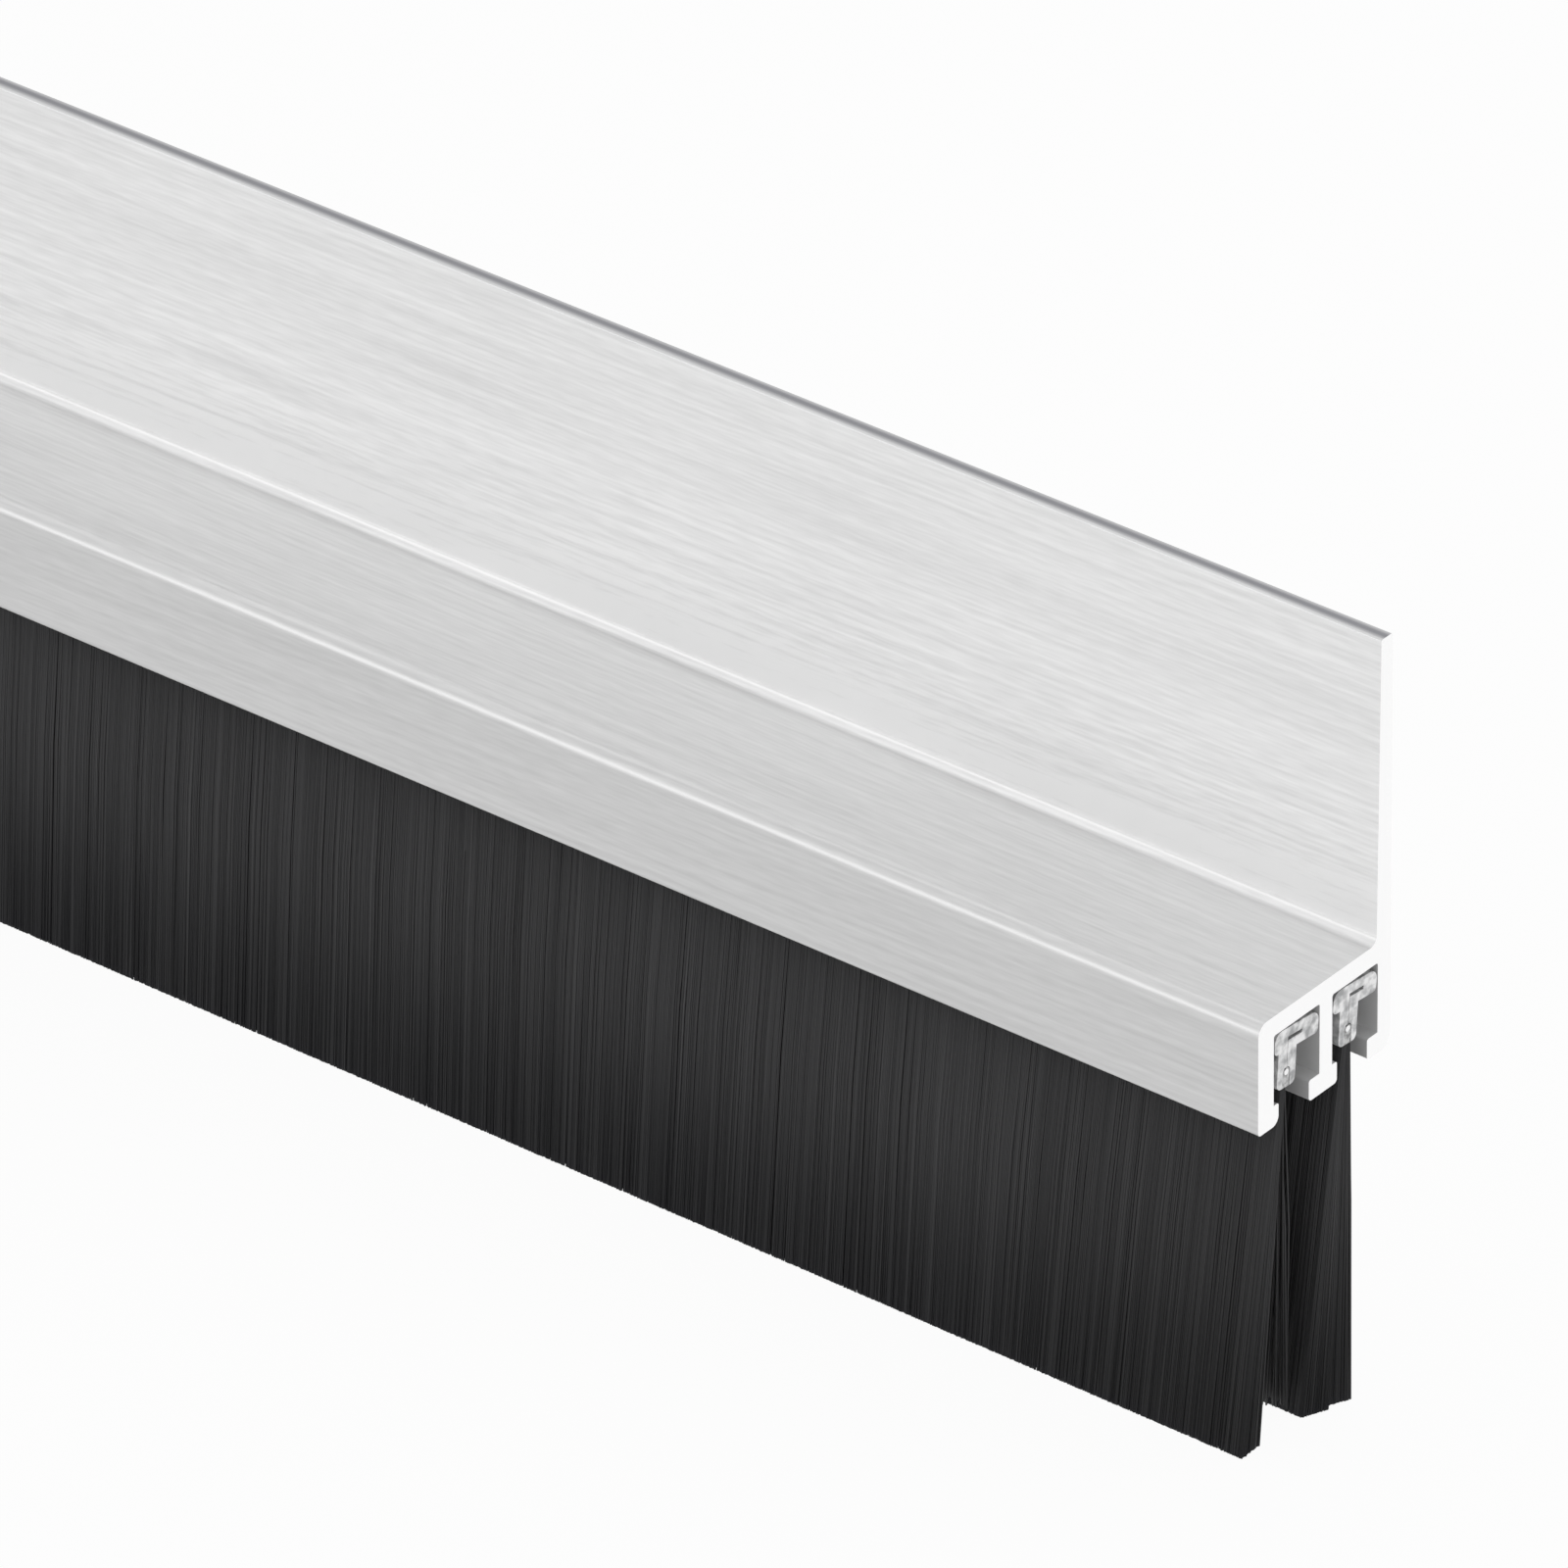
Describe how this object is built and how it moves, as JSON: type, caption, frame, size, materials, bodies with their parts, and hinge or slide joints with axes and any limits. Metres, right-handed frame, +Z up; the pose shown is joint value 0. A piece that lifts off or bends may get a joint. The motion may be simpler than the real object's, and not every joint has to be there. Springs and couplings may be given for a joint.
{
  "type": "brush seal strip",
  "caption": "Straight door brush seal: aluminium carrier with a flat fixing flange and parallel rows of black bristles held in folded clamp strips.",
  "frame": {"origin": "on the level floor that the bristle tips stand on, under the centre of the strip's bounding box", "axes": "+X along the strip, +Y from the front wall to the flange's back, +Z up from the bristle tips to the flange's edge"},
  "size_m": [1, 0.0188, 0.0776],
  "materials": {
    "aluminium_profile": "brushed lengthwise, clear anodised, with bright sawn ends",
    "galvanised_clamp": "galvanised sheet, folded",
    "core_wire": "drawn galvanised wire",
    "black_bristle": "fine black nylon filament with a soft sheen"
  },
  "bodies": {
    "root": {"carrier_profile": "aluminium_profile", "front_clamp_strip": "galvanised_clamp", "rear_clamp_strip": "galvanised_clamp", "front_core_wire": "core_wire", "rear_core_wire": "core_wire", "front_bristles": "black_bristle", "rear_bristles": "black_bristle"}
  },
  "joints": []
}
